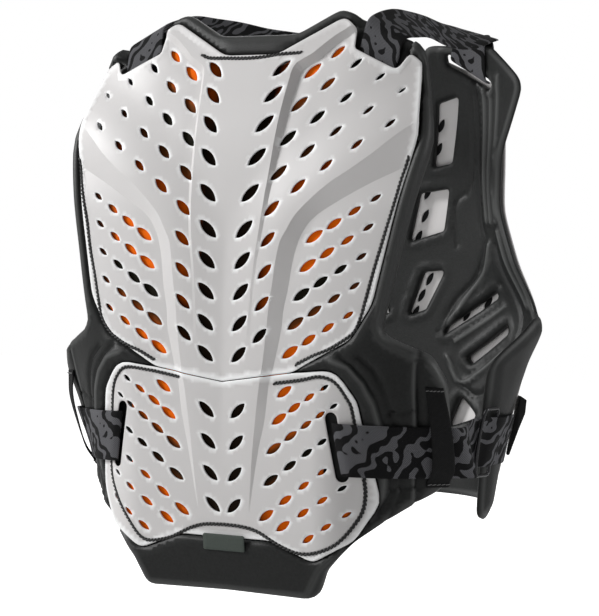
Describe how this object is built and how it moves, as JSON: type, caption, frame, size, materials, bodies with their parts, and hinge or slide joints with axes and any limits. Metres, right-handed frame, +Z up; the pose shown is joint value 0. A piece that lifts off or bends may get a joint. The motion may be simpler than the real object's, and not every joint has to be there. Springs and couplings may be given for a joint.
{
  "type": "roost deflector",
  "caption": "Rigid chest and back guard: perforated white shells on black foam panels, an open hollow for the trunk, and webbing straps over the shoulders and round the sides.",
  "frame": {"origin": "midway between the two panels, at the level of the shoulders under the crown of the shoulder straps", "axes": "+Z up, +Y from the back panel to the chest panel, +X to the right as the back panel is looked at"},
  "size_m": [0.386, 0.3325, 0.5121],
  "materials": {
    "white_shell": "satin white moulded shell",
    "orange_liner": "matte orange",
    "black_foam": "black cloth-faced moulded foam",
    "black_webbing": "woven black webbing",
    "grey_webbing": "woven dark webbing",
    "black_wire": "black coated wire",
    "black_plastic": "black plastic",
    "label_cloth": "woven label, bare"
  },
  "bodies": {
    "root": {"back_shell_upper": "white_shell", "back_shell_lower": "white_shell", "chest_shell": "white_shell", "back_pad": "black_foam", "chest_pad": "black_foam", "back_liner": "orange_liner", "tag": "label_cloth", "side_strap_right": "black_webbing", "strap_keeper_right": "grey_webbing", "side_ring_right": "black_wire", "side_hook_right": "black_plastic", "shoulder_strap_right": "black_webbing", "chest_loop_right": "black_webbing", "side_strap_left": "black_webbing", "strap_keeper_left": "grey_webbing", "side_ring_left": "black_wire", "side_hook_left": "black_plastic", "shoulder_strap_left": "black_webbing", "chest_loop_left": "black_webbing"}
  },
  "joints": []
}
